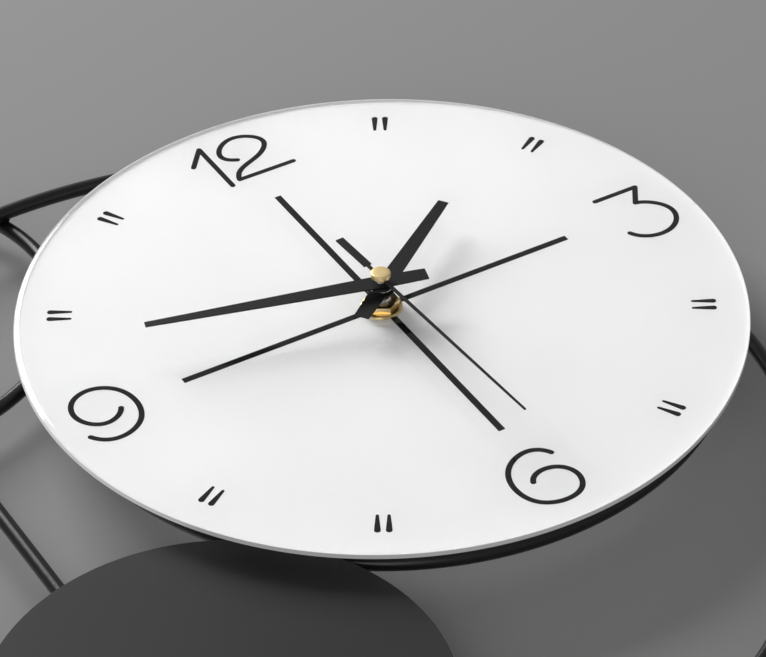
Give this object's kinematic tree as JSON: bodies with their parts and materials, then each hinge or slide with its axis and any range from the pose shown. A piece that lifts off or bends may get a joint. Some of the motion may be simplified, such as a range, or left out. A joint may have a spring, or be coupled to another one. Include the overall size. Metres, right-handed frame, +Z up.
{
  "type": "pendulum wall clock",
  "caption": "Wall clock with a white glass dial on a frame of bent black steel rings, a round dark plate and a pendulum with a round brass bob below it.",
  "frame": {"origin": "midway between the entry holes of the two hanging keyholes, on the wall side of the tabs", "axes": "+Z up towards twelve o'clock, -Y out of the dial towards the viewer, +X towards three o'clock"},
  "size_m": [0.4523, 0.0522, 0.6002],
  "materials": {
    "black_powder_coat": "gloss",
    "plate_enamel": "matte",
    "clear_glass": "polished",
    "white_film": "satin",
    "printed_ink": "matte",
    "black_abs": "fine texture",
    "black_rubber": "matte",
    "polished_brass": "polished",
    "nickel_steel": "satin",
    "hand_black": "matte",
    "white_acetal": "moulded",
    "copper_wire": "wound",
    "green_board": "solder mask",
    "cell_jacket": "satin",
    "ferrite": "ground"
  },
  "bodies": {
    "frame": {"dial_glass": "clear_glass", "dial_film": "white_film", "dial_markings": "printed_ink", "dial_spacer": "black_abs", "dial_ring": "black_powder_coat", "big_arc": "black_powder_coat", "small_ring": "black_powder_coat", "strut": "black_powder_coat", "cross_bar": "black_powder_coat", "hanger_tabs": "black_powder_coat", "wall_bumpers": "black_rubber", "accent_plate": "plate_enamel", "rubber_washer": "black_rubber", "threaded_bush": "nickel_steel", "brass_washer": "polished_brass", "brass_nut": "polished_brass", "movement_case": "black_abs", "movement_cover": "black_abs", "clock_cell": "cell_jacket", "clock_contacts": "nickel_steel", "coil_bobbin": "white_acetal", "coil_winding": "copper_wire", "stator": "nickel_steel", "circuit_board": "green_board", "quartz_crystal": "nickel_steel", "swing_case": "black_abs", "swing_cover": "black_abs", "swing_pin": "nickel_steel", "swing_coil": "copper_wire", "swing_board": "green_board", "swing_cell": "cell_jacket", "swing_contacts": "nickel_steel", "plate_studs": "nickel_steel", "stud_nuts": "nickel_steel"},
    "seconds": {"seconds_arbor": "nickel_steel", "second_collet": "polished_brass", "second_hand": "hand_black", "hand_cap": "polished_brass"},
    "minutes": {"centre_wheel": "white_acetal", "minute_collet": "nickel_steel", "minute_hand": "hand_black"},
    "hours": {"hour_wheel": "white_acetal", "hour_collet": "hand_black", "hour_hand": "hand_black"},
    "third": {"third_wheel": "white_acetal"},
    "motion": {"minute_wheel": "white_acetal"},
    "intermediate": {"intermediate_wheel": "white_acetal"},
    "stepper": {"rotor": "white_acetal", "rotor_magnet": "ferrite"},
    "knob": {"setting_knob": "black_abs"},
    "pendulum": {"swing_arm": "white_acetal", "swing_magnet": "ferrite", "pendulum_rod": "black_powder_coat", "pendulum_bob": "polished_brass"}
  },
  "joints": [
    {"name": "second_hand_turn", "type": "hinge", "parent": "frame", "child": "seconds", "pos_m": [0, -0.0213, -0.05], "axis": [0, 1, 0], "continuous": true},
    {"name": "minute_hand_turn", "type": "hinge", "parent": "frame", "child": "minutes", "pos_m": [0, -0.0213, -0.05], "axis": [0, 1, 0], "continuous": true},
    {"name": "hour_hand_turn", "type": "hinge", "parent": "frame", "child": "hours", "pos_m": [0, -0.0213, -0.05], "axis": [0, 1, 0], "continuous": true},
    {"name": "third_wheel_turn", "type": "hinge", "parent": "frame", "child": "third", "pos_m": [-0.00779, -0.0003, -0.0455], "axis": [0, 1, 0], "continuous": true},
    {"name": "minute_wheel_turn", "type": "hinge", "parent": "frame", "child": "motion", "pos_m": [0.004, -0.0043, -0.05693], "axis": [0, 1, 0], "continuous": true},
    {"name": "intermediate_wheel_turn", "type": "hinge", "parent": "frame", "child": "intermediate", "pos_m": [0.00552, 0.0037, -0.04537], "axis": [0, 1, 0], "continuous": true},
    {"name": "rotor_turn", "type": "hinge", "parent": "frame", "child": "stepper", "pos_m": [0.01088, 0.0027, -0.04087], "axis": [0, 1, 0], "continuous": true},
    {"name": "setting_knob_turn", "type": "hinge", "parent": "frame", "child": "knob", "pos_m": [0.0124, 0.0037, -0.05693], "axis": [0, 1, 0], "continuous": true},
    {"name": "pendulum_swing", "type": "hinge", "parent": "frame", "child": "pendulum", "pos_m": [-0.182, 0.0012, -0.182], "axis": [0, 1, 0], "range_deg": [-10, 10]}
  ],
  "couplings": [
    {"joint": "minute_hand_turn", "follows": "second_hand_turn", "ratio": 0.016667},
    {"joint": "hour_hand_turn", "follows": "second_hand_turn", "ratio": 0.0013889},
    {"joint": "third_wheel_turn", "follows": "second_hand_turn", "ratio": -0.13333},
    {"joint": "minute_wheel_turn", "follows": "second_hand_turn", "ratio": -0.0055556},
    {"joint": "intermediate_wheel_turn", "follows": "second_hand_turn", "ratio": -5},
    {"joint": "rotor_turn", "follows": "second_hand_turn", "ratio": 30},
    {"joint": "setting_knob_turn", "follows": "second_hand_turn", "ratio": 0.013889}
  ]
}
